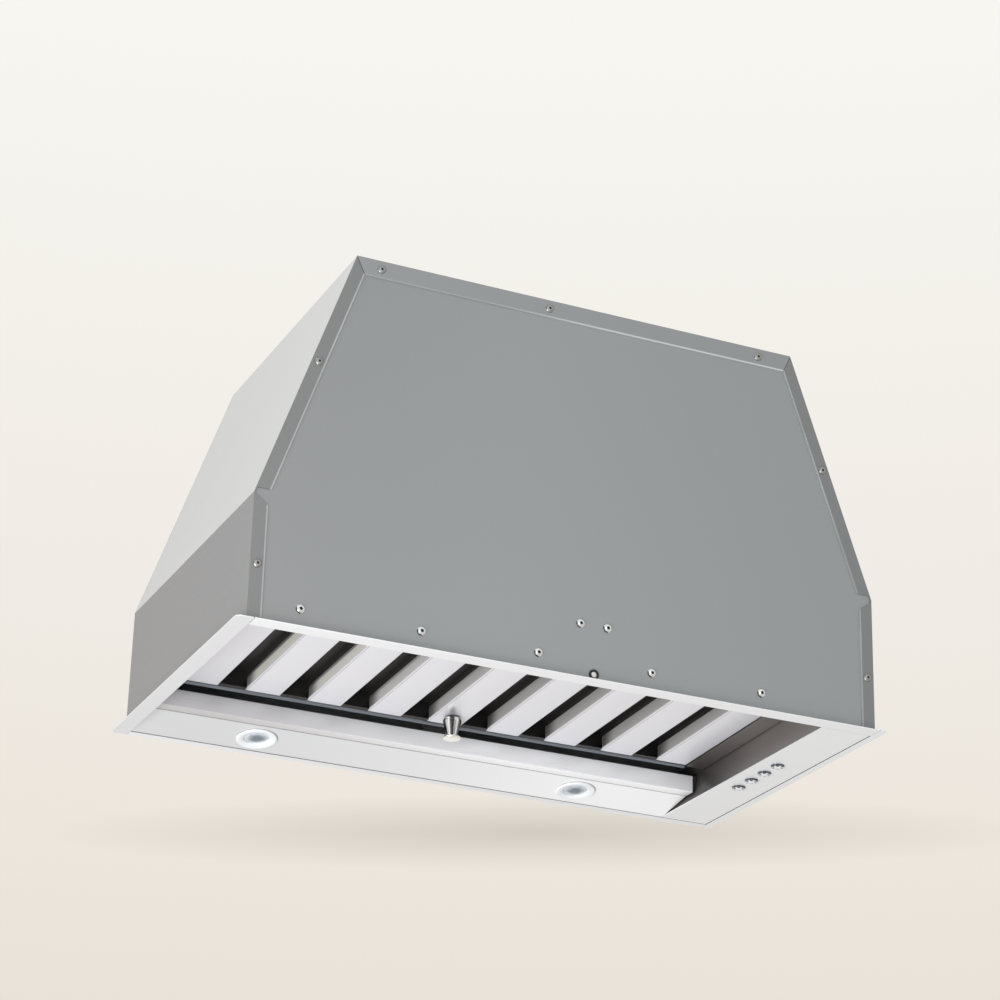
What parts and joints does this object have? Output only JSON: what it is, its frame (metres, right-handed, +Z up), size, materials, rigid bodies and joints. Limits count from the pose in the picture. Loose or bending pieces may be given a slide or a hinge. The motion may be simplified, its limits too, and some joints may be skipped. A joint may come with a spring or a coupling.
{
  "type": "range hood insert",
  "caption": "Built-in range hood insert: tapered sheet-steel box with a hinged baffle filter, lamp strip, push buttons, blower and a duct collar with flaps.",
  "frame": {"origin": "centre of the four hanging holes, on the outer face of the top panel", "axes": "+X towards the control panel, +Y from the plain front face with the rivets towards the lamp strip, +Z up, as the hood hangs in use"},
  "size_m": [0.724, 0.3956, 0.47],
  "materials": {
    "brushed_panel": "brushed stainless sheet",
    "grey_panel": "grey film-covered sheet, matt",
    "trim_sheet": "brushed stainless sheet, fine grain",
    "filter_sheet": "bright rolled sheet",
    "inner_sheet": "plain zinc-coated sheet",
    "fastener": "bright zinc",
    "chrome": "polished",
    "rubber": "matt black",
    "white_plastic": "matt",
    "dark_plastic": "matt",
    "bezel": "smooth white",
    "lens": "clear moulded lens",
    "board": "lacquered board",
    "motor_paint": "dark enamel",
    "aluminium": "plain",
    "zinc": "plain zinc-coated sheet"
  },
  "bodies": {
    "hood_body": {"left_side_panel": "brushed_panel", "right_side_panel": "brushed_panel", "top_panel": "brushed_panel", "front_panel": "grey_panel", "rear_panel": "grey_panel", "front_trim": "trim_sheet", "left_trim": "trim_sheet", "right_trim": "trim_sheet", "rear_trim": "trim_sheet", "front_flange_screws": "fastener", "rear_flange_screws": "fastener", "front_rivets": "fastener", "cable_grommet": "rubber", "grommet_plug": "white_plastic", "lamp_housing": "trim_sheet", "lamp_panel": "trim_sheet", "lamp_end_cap": "inner_sheet", "left_lamp_bezel": "bezel", "right_lamp_bezel": "bezel", "left_lamp_lens": "lens", "right_lamp_lens": "lens", "left_lamp_body": "aluminium", "right_lamp_body": "aluminium", "control_panel": "trim_sheet", "control_box_wall": "filter_sheet", "left_filter_ledge": "filter_sheet", "button_guide": "dark_plastic", "switch_block": "dark_plastic", "circuit_board": "board", "latch_keeper": "zinc", "left_pivot_bracket": "zinc", "right_pivot_bracket": "zinc", "blower_scroll": "zinc", "inlet_ring": "zinc", "motor_body": "motor_paint", "motor_bracket": "zinc", "capacitor": "aluminium", "capacitor_clip": "zinc", "junction_box": "zinc", "junction_box_cover": "zinc", "terminal_block": "white_plastic", "cable_clamp": "dark_plastic", "led_driver": "white_plastic", "duct_collar": "zinc", "collar_screws": "fastener", "damper_pin": "zinc"},
    "filter": {"filter_frame": "filter_sheet", "filter_slats": "filter_sheet", "filter_troughs": "inner_sheet", "filter_pivot_pins": "fastener"},
    "knob_and_latch": {"filter_knob": "chrome", "latch_tongue": "fastener"},
    "wheel": {"impeller": "zinc", "motor_shaft": "fastener"},
    "button_1": {"push_button_1": "chrome"},
    "button_2": {"push_button_2": "chrome"},
    "button_3": {"push_button_3": "chrome"},
    "button_4": {"push_button_4": "chrome"},
    "left_flap": {"left_damper_flap": "zinc"},
    "right_flap": {"right_damper_flap": "zinc"}
  },
  "joints": [
    {"name": "filter_hinge", "type": "hinge", "parent": "hood_body", "child": "filter", "pos_m": [-0.02155, -0.1685, -0.3708], "axis": [-1, 0, 0], "range_deg": [0, 80]},
    {"name": "knob_turn", "type": "hinge", "parent": "filter", "child": "knob_and_latch", "pos_m": [-0.02155, 0.07139, -0.37813], "axis": [0, 0.0305, 0.9995], "range_deg": [0, 90]},
    {"name": "wheel_spin", "type": "hinge", "parent": "hood_body", "child": "wheel", "pos_m": [0, -0.0585, -0.202], "axis": [1, 0, 0], "continuous": true},
    {"name": "button_1_press", "type": "slide", "parent": "hood_body", "child": "button_1", "axis": [0, 0, 1], "range_m": [0, 0.002], "stiffness_N_per_m": 200, "springref_m": -0.008},
    {"name": "button_2_press", "type": "slide", "parent": "hood_body", "child": "button_2", "axis": [0, 0, 1], "range_m": [0, 0.002], "stiffness_N_per_m": 200, "springref_m": -0.008},
    {"name": "button_3_press", "type": "slide", "parent": "hood_body", "child": "button_3", "axis": [0, 0, 1], "range_m": [0, 0.002], "stiffness_N_per_m": 200, "springref_m": -0.008},
    {"name": "button_4_press", "type": "slide", "parent": "hood_body", "child": "button_4", "axis": [0, 0, 1], "range_m": [0, 0.002], "stiffness_N_per_m": 200, "springref_m": -0.008},
    {"name": "left_flap_swing", "type": "hinge", "parent": "hood_body", "child": "left_flap", "pos_m": [0, 0.0165, 0.0116], "axis": [0, 1, 0], "range_deg": [0, 80]},
    {"name": "right_flap_swing", "type": "hinge", "parent": "hood_body", "child": "right_flap", "pos_m": [0, 0.0165, 0.0116], "axis": [0, -1, 0], "range_deg": [0, 80]}
  ]
}
